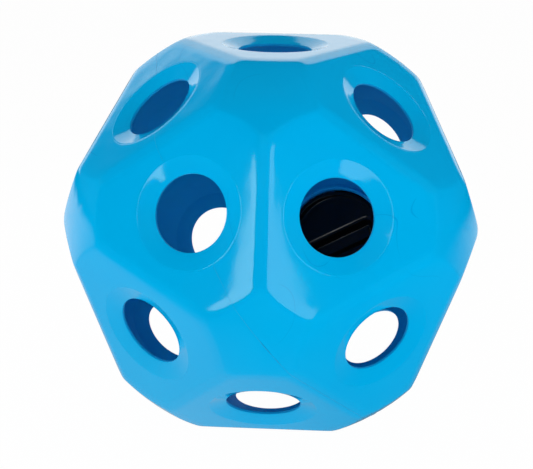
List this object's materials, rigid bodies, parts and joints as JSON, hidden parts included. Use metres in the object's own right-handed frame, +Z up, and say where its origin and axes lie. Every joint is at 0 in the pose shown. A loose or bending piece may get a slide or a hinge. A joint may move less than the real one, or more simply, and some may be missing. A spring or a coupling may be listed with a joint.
{
  "type": "treat dispensing ball",
  "caption": "Hollow faceted plastic ball with dished treat holes in its flat faces and a screw-in filler lid with a grip bar, rolled by an animal to drop treats.",
  "frame": {"origin": "middle of the flat face that the ball stands on, at floor level, straight below the ball's centre", "axes": "+Z up; -Y towards the side the picture shows; +X to the right in the picture; the filler lid faces back (+Y), a little right and down"},
  "size_m": [0.3794, 0.3999, 0.358],
  "materials": {
    "shell_plastic": "glossy moulded blue",
    "lid_plastic": "satin black",
    "seal_rubber": "matt black"
  },
  "bodies": {
    "shell": {"ball_shell": "shell_plastic"},
    "seal": {"lid_gasket": "seal_rubber"},
    "lid": {"filler_lid": "lid_plastic"}
  },
  "joints": [
    {"name": "lid_rise", "type": "slide", "parent": "shell", "child": "seal", "axis": [0.3568, 0.8727, -0.3333], "range_m": [0, 0.021]},
    {"name": "lid_turn", "type": "hinge", "parent": "seal", "child": "lid", "pos_m": [0.06387, 0.15621, 0.11933], "axis": [0.3568, 0.8727, -0.3333], "range_deg": [0, 360]}
  ],
  "couplings": [
    {"joint": "lid_rise", "follows": "lid_turn", "m_per_rad": 0.0033423}
  ]
}
